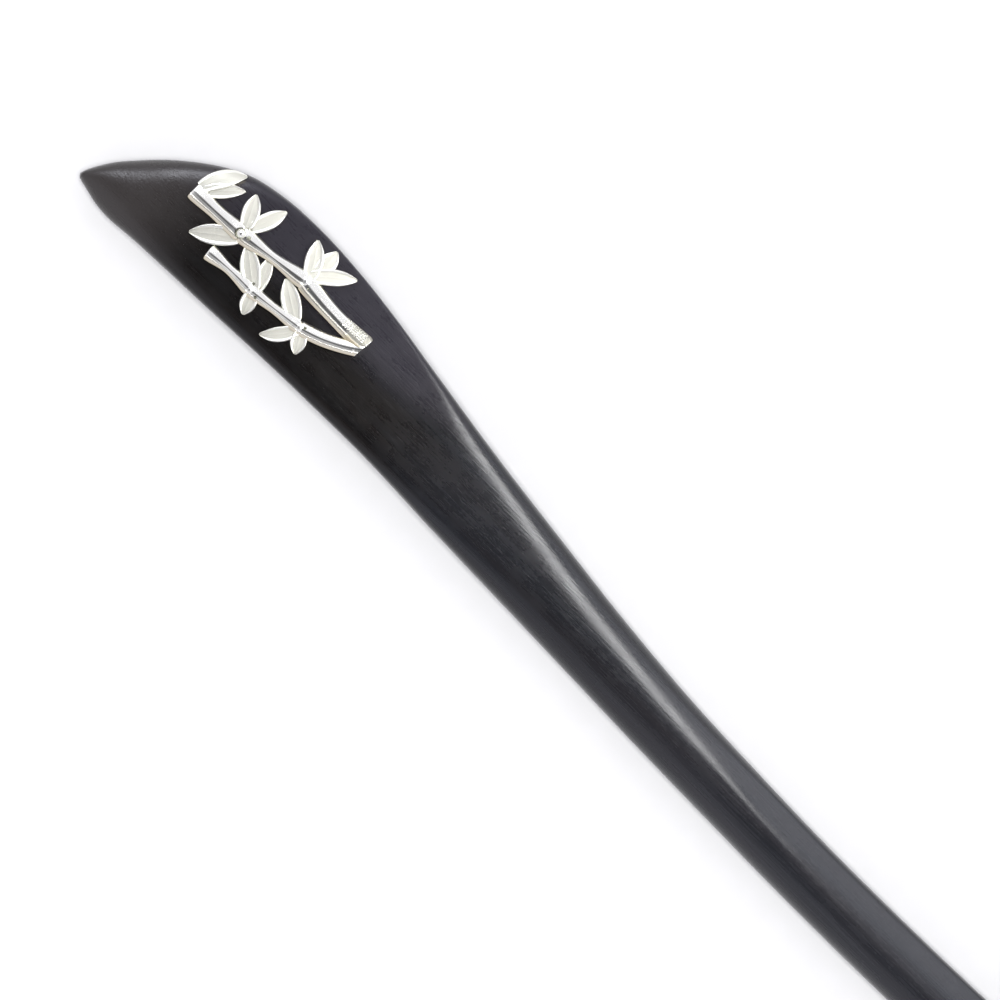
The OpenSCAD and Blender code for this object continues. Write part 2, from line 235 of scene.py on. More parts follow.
# A grid wrapped round the stick's line, one row of points for each station
def carvedStickTree():
    tree, given = newTree("carvedStick", {
        "Spine": "Geometry", "Ring Points": "Int", "Margin": "Float", "Material": "Material"})
    count = addNode(tree, "GeometryNodeAttributeDomainSize", {0: given["Spine"]}).outputs[0]
    around = addNode(tree, "ShaderNodeMath", {0: given["Ring Points"], 1: 1},
                     operation="ADD").outputs[0]
    skin = addNode(tree, "GeometryNodeMeshGrid", {
        "Vertices X": count, "Vertices Y": around}).outputs[0]
    index = tree.nodes.new("GeometryNodeInputIndex").outputs[0]
    share = addNode(tree, "ShaderNodeMath", {0: index, 1: around}, operation="DIVIDE").outputs[0]
    station = addNode(tree, "ShaderNodeMath", {0: share}, operation="FLOOR").outputs[0]
    corner = addNode(tree, "ShaderNodeMath", {0: index, 1: around}, operation="MODULO").outputs[0]
    turn = addNode(tree, "ShaderNodeMath", {0: corner, 1: given["Ring Points"]},
                   operation="DIVIDE").outputs[0]
    angle = addNode(tree, "ShaderNodeMath", {0: turn, 1: math.tau}, operation="MULTIPLY").outputs[0]

    # the section's own numbers at this station
    numbers = {}
    for label in ("halfWidth", "halfDepth") + planeLabels:
        named = addNode(tree, "GeometryNodeInputNamedAttribute", {"Name": label}).outputs[0]
        numbers[label] = addNode(tree, "GeometryNodeSampleIndex", {
            "Geometry": given["Spine"], "Value": named, "Index": station}).outputs[0]
    place = tree.nodes.new("GeometryNodeInputPosition").outputs[0]
    middle = addNode(tree, "GeometryNodeSampleIndex", data_type="FLOAT_VECTOR")
    for key, socket in {"Geometry": given["Spine"], "Value": place, "Index": station}.items():
        tree.links.new(socket, middle.inputs[key])

    # reach of a squared circle in this direction
    sides = {}
    for label, operation in {"across": "COSINE", "up": "SINE"}.items():
        side = addNode(tree, "ShaderNodeMath", {0: angle}, operation=operation).outputs[0]
        size = addNode(tree, "ShaderNodeMath", {0: side}, operation="ABSOLUTE").outputs[0]
        powered = addNode(tree, "ShaderNodeMath", {0: size, 1: numbers["squareness"]},
                          operation="POWER").outputs[0]
        sides[label] = (side, powered)
    total = addNode(tree, "ShaderNodeMath", {0: sides["across"][1], 1: sides["up"][1]},
                    operation="ADD").outputs[0]
    root = addNode(tree, "ShaderNodeMath", {0: -1, 1: numbers["squareness"]},
                   operation="DIVIDE").outputs[0]
    reach = addNode(tree, "ShaderNodeMath", {0: total, 1: root}, operation="POWER").outputs[0]
    across, up = [addNode(tree, "ShaderNodeMath", {0: reach, 1: sides[label][0]},
                          operation="MULTIPLY").outputs[0] for label in ("across", "up")]

    # the flat is a line over the upper side, straight or a little crowned
    steep = addNode(tree, "ShaderNodeMath", {0: across, 1: numbers["crown"], 2: numbers["fall"]},
                    operation="MULTIPLY_ADD").outputs[0]
    fallen = addNode(tree, "ShaderNodeMath", {0: across, 1: steep}, operation="MULTIPLY").outputs[0]
    line = addNode(tree, "ShaderNodeMath", {0: numbers["flat"], 1: fallen},
                   operation="SUBTRACT").outputs[0]
    up = addNode(tree, "ShaderNodeMath", {0: up, 1: line, 2: numbers["softness"]},
                 operation="SMOOTH_MIN").outputs[0]

    # half sizes, grown by the margin, out from the station's middle
    margin = addNode(tree, "ShaderNodeMath", {0: numbers["halfWidth"], 1: given["Margin"]},
                     operation="MINIMUM").outputs[0]
    offsets = []
    for label, direction in (("halfWidth", across), ("halfDepth", up)):
        grown = addNode(tree, "ShaderNodeMath", {0: numbers[label], 1: margin},
                        operation="ADD").outputs[0]
        offsets.append(addNode(tree, "ShaderNodeMath", {0: grown, 1: direction},
                               operation="MULTIPLY").outputs[0])
    offset = addNode(tree, "ShaderNodeCombineXYZ", {1: offsets[0], 2: offsets[1]}).outputs[0]
    spot = addNode(tree, "ShaderNodeVectorMath", {0: middle.outputs[0], 1: offset},
                   operation="ADD").outputs[0]

    # the back is planed flat at the floor, or below it by the margin
    parts = addNode(tree, "ShaderNodeSeparateXYZ", {0: spot}).outputs
    under = addNode(tree, "ShaderNodeMath", {0: 0, 1: given["Margin"]},
                    operation="SUBTRACT").outputs[0]
    planed = addNode(tree, "ShaderNodeMath", {0: parts[2], 1: under, 2: stick["backEase"] * mm},
                     operation="SMOOTH_MAX").outputs[0]
    final = addNode(tree, "ShaderNodeCombineXYZ", {0: parts[0], 1: parts[1], 2: planed}).outputs[0]
    carved = addNode(tree, "GeometryNodeSetPosition", {
        "Geometry": skin, "Position": final}).outputs[0]
    closed = addNode(tree, "GeometryNodeMergeByDistance", {
        0: carved, "Distance": stick["weld"] * mm}).outputs[0]
    outwards = addNode(tree, "GeometryNodeFlipFaces", {0: closed}).outputs[0]
    smooth = addNode(tree, "GeometryNodeSetShadeSmooth", {0: outwards}).outputs[0]
    real = addNode(tree, "GeometryNodeRealizeInstances", {0: smooth}).outputs[0]
    painted = addNode(tree, "GeometryNodeSetMaterial", {
        0: real, "Material": given["Material"]}).outputs[0]
    addNode(tree, "NodeGroupOutput", {0: painted})
    return tree


spine = helper(
    "stickSpine", [placed(x, s["y"], s["z"]) for x, s in zip(stations, sections)],
    edges=[(i, i + 1) for i in range(len(stations) - 1)],
    numbers={
        "halfWidth": [s["halfWidth"] * mm for s in sections],
        "halfDepth": [s["halfDepth"] * mm for s in sections],
        **{label: [s[label] for s in sections] for label in planeLabels},
    })
carveTree = carvedStickTree()
carveValues = {"Ring Points": stick["ringPoints"], "Margin": 0.0}
wholeStick = runTree(spine, carveTree, carveValues, "wholeStick")
print("hair stick: wood carved,", len(wholeStick.data.polygons), "faces")


# The cast silver spray, in millimetres. Places on it are [share of its length, share of the
# head's half width].
spray = {
    "length": 23, "start": 0.46,
    "leafWidth": 1.9, "leafHeight": 0.8,
    "stemWidth": 1.5, "stemHeight": 0.95,
    "bead": 1.0, "jointHeight": 1,
    "post": 1, "postLength": 2.4,
    "seatGap": 0.05, "postGap": 0.05,
    "sink": 0.8,             # how deep the pieces are drawn before the wood is cut from them
    "edgeShare": 0.98,       # share of the half width from which the face is carried on level
    "leafSteps": 56, "stemSteps": 72,
    "sectionSteps": 3,       # steps from one row of a section to the next
    "ballSegments": 28, "grainSegments": 12, "postSegments": 48,
    "matteFrom": 0.68, "matteOver": 0.1,      # shares of the stem that ends in the matte foot
    "jointFrost": 0.2, "pitFrost": 0.5,
    "sharpAngle": 42,        # degrees between two faces from which their edge stays sharp
}
topEnd, jointA, jointB, footEnd = (.004, .38), (.286, .165), (.628, .295), (1.02, .335)
sideEnd, jointC, jointD, footSide = (.238, -.36), (.482, -.37), (.750, -.26), (1.045, .365)

# [from, to, bend to the left, widths at the start, waist and end]
stemRows = [
    [topEnd, jointA, -.01, 1.28, 1.06, 1.28], [jointA, jointB, -.005, 1.30, .78, 1.25],
    [jointB, footEnd, -.03, 1.42, 1.16, 1.32], [sideEnd, jointC, .02, 1.18, .72, .98],
    [jointC, jointD, -.005, 1.00, .72, .98], [jointD, footSide, -.065, 1.02, 1.00, 1.15],
]
# [root, tip, bend to the left, width, height]. The lower ones pass behind their neighbours.
leafRows = [
    [(.017, .470), (.129, .960), .065, .97, 1], [(.034, .41), (.170, .728), .015, .82, .87],
    [(.280, .28), (.212, .78), -.01, .97, 1.03], [(.300, .32), (.359, .85), -.015, .92, .88],
    [(.292, .09), (.118, -.30), -.01, 1.12, 1], [(.632, .37), (.541, .86), -.02, 1.02, .98],
    [(.641, .50), (.636, .95), -.03, 1.0, .83], [(.630, .41), (.786, .89), .01, .90, 1.06],
    [(.495, -.34), (.335, .10), 0, 1.10, 1.04], [(.508, -.33), (.449, .20), 0, .84, .86],
    [(.500, -.36), (.538, -.715), 0, .90, 1], [(.722, -.245), (.560, .12), 0, 1.06, 1],
    [(.756, -.30), (.648, -.76), .06, .82, 1], [(.768, -.27), (.820, -.605), 0, .88, 1],
]
# [place, width as a share of the stems']
jointRows = [[jointA, 1], [jointB, 1.15], [jointC, 1], [jointD, 1]]
# [place, width in millimetres, share of the stems' height, depth in millimetres]
pits = [
    [(.281, .162), 1.16, .8, .6], [(.324, .182), .46, .8, .5], [(.478, -.27), .30, .8, .7],
    [(.524, -.40), .34, .8, .7], [(.772, -.205), .34, .8, .7], [(.662, .235), .26, .9, .5],
    [(1.355, .25), 16, .5, 16],      # a round this wide trims the foot straight across
]
# A low drop of metal where the two stems meet at the foot, in millimetres
footDrop = {"place": (.985, .125), "lift": 0.35, "halfWidth": 0.3, "halfHeight": 0.5, "frost": 0.3}

# The rough patch on the foot: five lines of fine grains along the stem, lower towards its sides
patch = {
    "start": (.878, .28), "along": (.0135, .0062),      # where a line starts, and its step
    "lines": range(1, 6), "across": .034,               # and the step from line to line
    "middle": 1.6,                                      # the start is between lines 1 and 2
    "perLine": 9,
    "top": .915, "climb": .007, "fall": .0185,          # shares of the stems' height
    "crest": 1.7,                                       # the patch is highest at this line
    "grainWidth": 0.19, "grainHalfHeight": 0.09, "grainSink": 0.05, "frost": 0.9,
}
# [place, share of the stems' height]
grains = [
    [(patch["start"][0] + patch["along"][0] * i,
      patch["start"][1] + patch["along"][1] * i + patch["across"] * (line - patch["middle"])),
     patch["top"] + patch["climb"] * i - patch["fall"] * (line - patch["crest"])**2]
    for i in range(patch["perLine"]) for line in patch["lines"]]


# Height of the wood under a place, with the same soft meeting of side and flat as its tree
def woodTop(x, y, s=None):
    s = s or sectionAt(x)
    across = max(-spray["edgeShare"], min(spray["edgeShare"], (y - s["y"]) / s["halfWidth"]))
    up = (1 - abs(across) ** s["squareness"]) ** (1 / s["squareness"])
    flat = s["flat"] - (s["fall"] + s["crown"] * across) * across
    near = max(0, s["softness"] - abs(up - flat)) / s["softness"]
    return s["z"] + s["halfDepth"] * (min(up, flat) - near**3 * s["softness"] / 6)


# A place on the spray in millimetres along and across the stick
def onHead(place):
    x = spray["start"] * stick["beak"] + place[0] * spray["length"]
    s = sectionAt(x)
    return Vector((x, s["y"] + place[1] * s["halfWidth"]))


def curvePoint(a, b, bend, t):
    side = Vector((a.y - b.y, b.x - a.x))
    return a.lerp(b, t) + side * (bend * 4 * t * (1 - t))


# Points through a few chosen ones, on a smooth line
def smoothLine(points, steps):
    line = []
    for i in range(len(points) - 1):
        before, after = points[max(i - 1, 0)], points[min(i + 2, len(points) - 1)]
        for k in range(steps):
            t = k / steps
            line.append([
                0.5 * (2 * b + (c - a) * t + (2 * a - 5 * b + 4 * c - d) * t**2
                       + (3 * b - a - 3 * c + d) * t**3)
                for a, b, c, d in zip(before, points[i], points[i + 1], after)])
    return line + [list(points[-1])]


# The face of the head, carried on level past the edges, for the pieces to lie on
seat = {
    "margin": 2, "step": 0.15,      # millimetres past the spray's ends and along the stick
    "reach": 1.35, "cells": 160,    # share of the half width, and how many cells lie across it
}


def seatSurface():
    start = spray["start"] * stick["beak"] - seat["margin"]
    count = round((spray["length"] + 2 * seat["margin"]) / seat["step"])
    xs = [start + seat["step"] * i for i in range(count)]
    shares = [mix(-seat["reach"], seat["reach"], k / seat["cells"])
              for k in range(seat["cells"] + 1)]
    points, wide = [], len(shares)
    for x in xs:
        s = sectionAt(x)
        for share in shares:
            y = s["y"] + share * s["halfWidth"]
            points.append(placed(x, y, woodTop(x, y, s)))
    faces = [(i * wide + k, (i + 1) * wide + k, (i + 1) * wide + k + 1, i * wide + k + 1)
             for i in range(len(xs) - 1) for k in range(wide - 1)]
    return helper("headFace", points, faces=faces)


# One open line of points for each row, with its half width and how tall it is
def reliefSpines(name, rows, steps, widthOf, tallOf):
    points, edges = [], []
    numbers = {"halfWidth": [], "matte": [], "tall": []}
    for row in rows:
        a, b = onHead(row[0]), onHead(row[1])
        for k in range(steps + 1):
            if k:
                edges.append((len(points) - 1, len(points)))
            p = curvePoint(a, b, row[2], k / steps)
            points.append(placed(p.x, p.y))
            matte = max(0, min(1, (k / steps - spray["matteFrom"]) / spray["matteOver"]))
            numbers["halfWidth"].append(widthOf(row, k / steps) * mm / 2)
            numbers["matte"].append(ease(matte) if row[1] == footEnd else 0)
            numbers["tall"].append(tallOf(row))
    return helper(name, points, edges=edges, numbers=numbers)


# A closed section as [off, up, frost, warmth of tarnish and painted reflection], swept along lines
# that lie on the wood
def sectionLoop(name, top):
    loop = top + [[off, -1, .3, .6] for off in (-1, -.5, 0, .5, 1)]
    columns = {"up": 1, "frost": 2, "warm": 3}
    return helper(
        name, [(p[0], 0, 0) for p in loop],
        edges=[(i, (i + 1) % len(loop)) for i in range(len(loop))],
        numbers={label: [p[column] for p in loop] for label, column in columns.items()})


def reliefTree(name, outline, rise):
    tree, given = newTree(name, {
        "Lines": "Geometry", "Section": "Object", "Head Face": "Object", "Height": "Float",
        "Sink": "Float"})
    line = addNode(tree, "GeometryNodeMeshToCurve", {0: given["Lines"]}).outputs[0]
    level = addNode(tree, "GeometryNodeSetCurveNormal", {0: line}, mode="Z_UP").outputs[0]
    share = tree.nodes.new("GeometryNodeSplineParameter").outputs[0]

    # width and height along each line, from its own number and the curve for its kind
    scaled = []
    for label, points in (("halfWidth", outline), ("tall", rise)):
        curve = addNode(tree, "ShaderNodeFloatCurve", {"Value": share})
        marks = curve.mapping.curves[0].points
        for i, (x, y) in enumerate(points):
            mark = marks[i] if i in (0, 1) else marks.new(x, y)
            mark.location = (x, y)
        curve.mapping.update()
        own = addNode(tree, "GeometryNodeInputNamedAttribute", {"Name": label}).outputs[0]
        scaled.append(addNode(tree, "ShaderNodeMath", {0: own, 1: curve.outputs[0]},
                              operation="MULTIPLY").outputs[0])
    lifted = addNode(tree, "GeometryNodeStoreNamedAttribute", {
        "Geometry": level, "Name": "lift", "Value": scaled[1]}).outputs[0]
    section = addNode(tree, "GeometryNodeObjectInfo", {
        "Object": given["Section"]}).outputs["Geometry"]
    profile = addNode(tree, "GeometryNodeMeshToCurve", {0: section}).outputs[0]
    swept = addNode(tree, "GeometryNodeCurveToMesh", {
        "Curve": lifted, "Profile Curve": profile, "Scale": scaled[0],
        "Fill Caps": True}).outputs[0]

    # drop each point onto the wood, and raise it from there by the section's own height
    overhead = 50 * mm
    place = tree.nodes.new("GeometryNodeInputPosition").outputs[0]
    parts = addNode(tree, "ShaderNodeSeparateXYZ", {0: place}).outputs
    above = addNode(tree, "ShaderNodeCombineXYZ", {
        0: parts[0], 1: parts[1], 2: overhead}).outputs[0]
    face = addNode(tree, "GeometryNodeObjectInfo", {
        "Object": given["Head Face"]}).outputs["Geometry"]
    hit = addNode(tree, "GeometryNodeRaycast", {
        "Target Geometry": face, "Source Position": above, "Ray Direction": (0, 0, -1),
        "Ray Length": 2 * overhead}).outputs["Hit Position"]
    ground = addNode(tree, "ShaderNodeSeparateXYZ", {0: hit}).outputs[2]
    up, lift = [addNode(tree, "GeometryNodeInputNamedAttribute", {"Name": label}).outputs[0]
                for label in ("up", "lift")]
    raised = addNode(tree, "ShaderNodeMath", {0: up, 1: 0}, operation="MAXIMUM").outputs[0]
    for factor in (lift, given["Height"]):
        raised = addNode(tree, "ShaderNodeMath", {0: raised, 1: factor},
                         operation="MULTIPLY").outputs[0]
    sunk = addNode(tree, "ShaderNodeMath", {0: up, 1: 0}, operation="MINIMUM").outputs[0]
    sunk = addNode(tree, "ShaderNodeMath", {0: sunk, 1: given["Sink"], 2: raised},
                   operation="MULTIPLY_ADD").outputs[0]
    z = addNode(tree, "ShaderNodeMath", {0: ground, 1: sunk}, operation="ADD").outputs[0]
    final = addNode(tree, "ShaderNodeCombineXYZ", {0: parts[0], 1: parts[1], 2: z}).outputs[0]
    seated = addNode(tree, "GeometryNodeSetPosition", {
        "Geometry": swept, "Position": final}).outputs[0]
    outwards = addNode(tree, "GeometryNodeFlipFaces", {0: seated}).outputs[0]
    real = addNode(tree, "GeometryNodeRealizeInstances", {0: outwards}).outputs[0]
    addNode(tree, "NodeGroupOutput", {0: real})
    return tree


# A leaf is a shallow dish with a low midrib, inside a rounded rim
leafTop = smoothLine([
    [1, 0, .3, .8], [1, .45, .3, .6], [.97, .78, .4, .1], [.91, .89, .4, 0], [.83, .915, .4, 0],
    [.75, .885, .5, 0], [.67, .82, .7, 0], [.57, .772, 1, 0], [.44, .765, 1, 0], [.30, .760, 1, 0],
    [.12, .762, 1, 0], [0, .775, 1, 0], [-.12, .762, 1, 0], [-.30, .760, 1, 0], [-.44, .765, 1, 0],
    [-.57, .772, 1, 0], [-.67, .82, .7, 0], [-.75, .885, .5, 0], [-.83, .915, .4, 0],
    [-.91, .89, .4, 0], [-.97, .78, .4, 0], [-1, .45, .3, .4], [-1, 0, .3, .6],
], spray["sectionSteps"])
# A stem falls from its crest to the right, and a groove left of the crest sets off a broad
# sloping rim. The warm tint on that rim is a painted warm reflection, and low on the sides it is
# tarnish.
stemTop = smoothLine([
    [1, 0, .3, 1], [1, .50, .3, .9], [.99, .67, .3, .7], [.95, .745, .3, .6], [.88, .785, .3, .6],
    [.80, .828, .3, .5], [.72, .870, .2, .5], [.64, .908, .2, .4], [.57, .928, .1, .4],
    [.50, .912, .1, .3], [.44, .895, .2, .1], [.38, .89, .2, 0], [.32, .902, .1, 0],
    [.22, .93, 0, 0], [.12, .955, 0, 0], [.02, .97, 0, 0], [-.08, .968, 0, 0], [-.2, .945, 0, 0],
    [-.35, .905, 0, 0], [-.5, .857, .1, 0], [-.63, .805, .1, 0], [-.76, .74, .2, 0],
    [-.87, .64, .2, 0], [-.95, .49, .2, 0], [-1, .28, .2, .2], [-1, 0, .2, .3],
], spray["sectionSteps"])

# Width and height from root to tip of a leaf, and from end to end of a stem. Each stem ends in a
# low collar.
leafOutline = [(0, .58), (.12, .80), (.30, .96), (.50, 1), (.68, .87), (.84, .58), (.94, .31),
               (.98, .19), (1, .08)]
leafRise = [(0, .95), (.12, 1), (.5, 1), (.68, .97), (.84, .90), (.95, .80), (1, .65)]
stemOutline = [(0, .84), (.035, .98), (.1, 1), (.94, 1), (.975, .95), (1, .80)]
stemRise = [(0, .80), (.04, .90), (.8, .95), (.93, 1), (.97, .98), (1, .90)]


def leafWidthAt(row, t):
    return row[3] * spray["leafWidth"]


def stemWidthAt(row, t):
    share = mix(row[3], row[4], ease(2 * t)) if t < .5 else mix(row[4], row[5], ease(2 * t - 1))
    return share * spray["stemWidth"]


# Leaves, stems and joints melt into one solid, seated on the wood, with its posts below
def castTree():
    tree, given = newTree("fusedCasting", {
        "Leaves": "Geometry", "Stems": "Object", "Joints": "Object", "Pits": "Object",
        "Grown Wood": "Object", "Balls": "Object", "Grains": "Object", "Posts": "Object",
        "Material": "Material"})
    solids = {label: addNode(tree, "GeometryNodeObjectInfo", {
        "Object": given[label]}).outputs["Geometry"]
        for label in ("Stems", "Joints", "Pits", "Grown Wood", "Balls", "Grains", "Posts")}

    def combined(operation, first, *others):
        apart = tree.nodes.new("GeometryNodeJoinGeometry")
        for part in others:
            tree.links.new(part, apart.inputs[0])
        island = tree.nodes.new("GeometryNodeInputMeshIsland").outputs[0]
        pieces = addNode(tree, "GeometryNodeSplitToInstances", {
            "Geometry": apart.outputs[0], "Group ID": island}, domain="POINT").outputs[0]
        solid = addNode(tree, "GeometryNodeMeshBoolean", {"Mesh 2": pieces},
                        operation=operation, solver="MANIFOLD")
        if first:
            tree.links.new(first, solid.inputs["Mesh 1" if operation == "DIFFERENCE" else "Mesh 2"])
        return solid.outputs[0]

    fused = combined("UNION", None, given["Leaves"], solids["Stems"], solids["Joints"])
    pitted = combined("DIFFERENCE", fused, solids["Pits"])
    seated = combined("DIFFERENCE", pitted, solids["Grown Wood"])
    whole = combined("UNION", seated, solids["Balls"], solids["Grains"], solids["Posts"])
    smooth = addNode(tree, "GeometryNodeSetShadeSmooth", {0: whole}).outputs[0]
    real = addNode(tree, "GeometryNodeRealizeInstances", {0: smooth}).outputs[0]
    painted = addNode(tree, "GeometryNodeSetMaterial", {
        0: real, "Material": given["Material"]}).outputs[0]
    addNode(tree, "NodeGroupOutput", {0: painted})
    return tree


# Round solids of one kind on points that carry their own width and height
def roundsTree(kind, **counts):
    tree, given = newTree(kind + "Rounds", {"Points": "Geometry"})
    shape = addNode(tree, kind, counts).outputs["Mesh"]
    width, height = [addNode(tree, "GeometryNodeInputNamedAttribute", {"Name": label}).outputs[0]
                     for label in ("width", "height")]
    size = addNode(tree, "ShaderNodeCombineXYZ", {0: width, 1: width, 2: height}).outputs[0]
    placedRounds = addNode(tree, "GeometryNodeInstanceOnPoints", {
        "Points": given["Points"], "Instance": shape, "Scale": size}).outputs[0]
    real = addNode(tree, "GeometryNodeRealizeInstances", {0: placedRounds}).outputs[0]
    addNode(tree, "NodeGroupOutput", {0: real})
    return tree


# Each row gives a place, half a width, half a height and how frosted the metal is
def rounds(name, tree, rows):
    points = helper(name + "Points", [placed(*row[0]) for row in rows], numbers={
        "width": [row[1] * mm for row in rows], "height": [row[2] * mm for row in rows],
        "frost": [row[3] for row in rows]})
    made = runTree(points, tree, {}, name)
    discard(points)
    return made


# The same with the height of the wood there, or so far above it
def onFace(place, lift=0):
    p = onHead(place)
    return (p.x, p.y, woodTop(p.x, p.y) + lift)


# A new material with its tree, its shader and the object's own coordinates
def newMaterial(name):
    material = bpy.data.materials.new(name)
    material.use_nodes = True
    tree = material.node_tree
    place = tree.nodes.new("ShaderNodeTexCoord").outputs["Object"]
    return material, tree, tree.nodes["Principled BSDF"], place


# Ebony, carved, scraped, oiled and rubbed: nearly black, with browner bands and fine pores along
# it, and a soft gloss. Hands have polished and greyed the neck and the shaft, the head is darker
# and duller, and the beak has dried to a brown grey. The long side of the head that faces the
# lamps carries painted light, a lighter colour.
ebonyLook = {
    # millimetres along, across and up, and detail
    "bands": [(30, 1.5, 1.5), 4],
    "grain": [(12, 0.2, 0.2), 5],        # real fibres are finer, and would not show
    "pores": [(1.5, 0.08, 0.08), 2],
    "handling": [(2.4, 1.6, 1.6), 3],    # patches rubbed brighter by fingers
    "scrapes": [(0.36, 0.18, 0.18), 4],  # ripples left by the scraper
    "patternRoughness": 0.6,
    # the stretch of each pattern that runs from none of it to all of it
    "contrast": {"bands": (0.4, 0.75), "grain": (0.3, 0.7), "pores": (0.60, 0.72),
                 "handling": (0.3, 0.7)},
    # [fibre, darker fibre, brown band] of the head, the neck and the shaft
    "woods": [["#090807", "#060505", "#120e0b"], ["#1c1d21", "#0f1013", "#1a191b"],
              ["#232428", "#17181b", "#212023"]],
    # the first colour is painted light on the head's lamp-facing side, the second the dried beak
    "paintedLitSideColour": "#201e24", "driedColour": "#2b2827",
    # where each look starts and is complete, in millimetres from the part's middle; the painted
    # light on the head's lamp-facing side is measured across it, the rest along it
    "dried": (-74, -84), "polished": (-53, -38), "gripped": (-25, 3), "worn": (-1, 3.5),
    "specular": 0.38,                    # oil sunk into the wood leaves less gloss than varnish
    "roughness": (0.19, 0.28),           # where fingers rub, and where they don't
    "dullHead": 0.03, "grainRoughness": 0.07, "poreRoughness": 0.08,      # added to it
    "poreDepth": -0.6,                   # against the grain's height
    "scraped": (1.6, 4.5),               # height of the ripples when polished and when dried
    "bumpStrength": 0.45, "bumpDepth": 0.012,
}


def ebonyMaterial():
    look = ebonyLook
    material, tree, skin, place = newMaterial("oiled_ebony")
    skin.inputs["Specular IOR Level"].default_value = look["specular"]
    fields = {}
    for label in ("bands", "grain", "pores", "handling", "scrapes"):
        sizes, detail = look[label]
        scaled = addNode(tree, "ShaderNodeMapping", {
            "Vector": place, "Scale": [1 / (side * mm) for side in sizes]}).outputs[0]
        fields[label] = addNode(tree, "ShaderNodeTexNoise", {
            "Vector": scaled, "Scale": 1, "Detail": detail,
            "Roughness": look["patternRoughness"]}).outputs[0]
    bands, grain, pores, handling = [addNode(tree, "ShaderNodeMapRange", {
        0: fields[label], 1: low, 2: high}).outputs[0]
        for label, (low, high) in look["contrast"].items()]
    along, across = addNode(tree, "ShaderNodeSeparateXYZ", {0: place}).outputs[:2]
    dried, polished, gripped, worn = [addNode(tree, "ShaderNodeMapRange", {
        0: way, 1: look[label][0] * mm, 2: look[label][1] * mm},
        interpolation_type="SMOOTHSTEP").outputs[0]
        for label, way in (("dried", along), ("polished", along), ("gripped", along),
                           ("worn", across))]

    # painted light: the long side of the head that faces the lamps is coloured a little lighter, as
    # far as the polished neck
    worn = addNode(tree, "ShaderNodeMath", {0: worn, 1: polished}, operation="SUBTRACT",
                   use_clamp=True).outputs[0]
    woods = []
    for fibre, darker, brown in look["woods"]:
        dark = addNode(tree, "ShaderNodeMix", {
            0: grain, 6: linear(darker), 7: linear(fibre)}, data_type="RGBA").outputs[2]
        woods.append(addNode(tree, "ShaderNodeMix", {
            0: bands, 6: dark, 7: linear(brown)}, data_type="RGBA").outputs[2])
    wood = woods[0]
    for share, colour in ((polished, woods[1]), (gripped, woods[2]),
                          (worn, linear(look["paintedLitSideColour"])), (dried, linear(look["driedColour"]))):
        wood = addNode(tree, "ShaderNodeMix", {
            0: share, 6: wood, 7: colour}, data_type="RGBA").outputs[2]
    tree.links.new(wood, skin.inputs["Base Color"])

    # rougher where fingers don't rub, on the head, along the grain and in the pores
    rough = addNode(tree, "ShaderNodeMapRange", {
        0: handling, 3: look["roughness"][0], 4: look["roughness"][1]}).outputs[0]
    dull = addNode(tree, "ShaderNodeMapRange", {0: polished, 3: look["dullHead"], 4: 0}).outputs[0]
    rough = addNode(tree, "ShaderNodeMath", {0: rough, 1: dull}, operation="ADD").outputs[0]
    for field, strength in ((grain, look["grainRoughness"]), (pores, look["poreRoughness"])):
        rough = addNode(tree, "ShaderNodeMath", {0: field, 1: strength, 2: rough},
                        operation="MULTIPLY_ADD").outputs[0]
    tree.links.new(rough, skin.inputs["Roughness"])

    # pores are sunk, and the scraper's ripples are deepest where the beak has dried
    height = addNode(tree, "ShaderNodeMath", {0: pores, 1: look["poreDepth"], 2: grain},
                     operation="MULTIPLY_ADD").outputs[0]
    scraped = addNode(tree, "ShaderNodeMapRange", {
        0: dried, 3: look["scraped"][0], 4: look["scraped"][1]}).outputs[0]
    height = addNode(tree, "ShaderNodeMath", {0: fields["scrapes"], 1: scraped, 2: height},
                     operation="MULTIPLY_ADD").outputs[0]
    bump = addNode(tree, "ShaderNodeBump", {
        "Height": height, "Strength": look["bumpStrength"], "Distance": look["bumpDepth"] * mm})
    tree.links.new(bump.outputs[0], skin.inputs["Normal"])
    return material


# Sterling silver, cast and pickled, then burnished on the stems and left frosted on the leaves:
# the stems mirror the room, the leaves are an even soft white, and low edges keep a warm tarnish.
# The stems' broad left rims carry a painted warm reflection in the same colour.
silverLook = {
    # the last colour is warm tarnish, and also a painted warm reflection on the stems' left rims
    "polished": "#f2f2e9", "frosted": "#cac9be", "foot": "#a9a79c", "patinaAndReflectionColour": "#d3c29a",
    # [millimetres, detail, roughness]
    "frosting": [0.09, 4, 0.65],         # the real one is finer, and would not show
    "unevenness": [0.7, 3, 0.5],         # from one soft patch of the casting to the next
    "frostFrom": 0.5,                    # how frosted the metal is where its colour starts to turn
    # of burnished metal and of frosted metal
    "roughness": (0.16, 0.60), "bumpStrength": (0.04, 0.5),
    "patchRoughness": 0.08, "bumpDepth": 0.02,
}


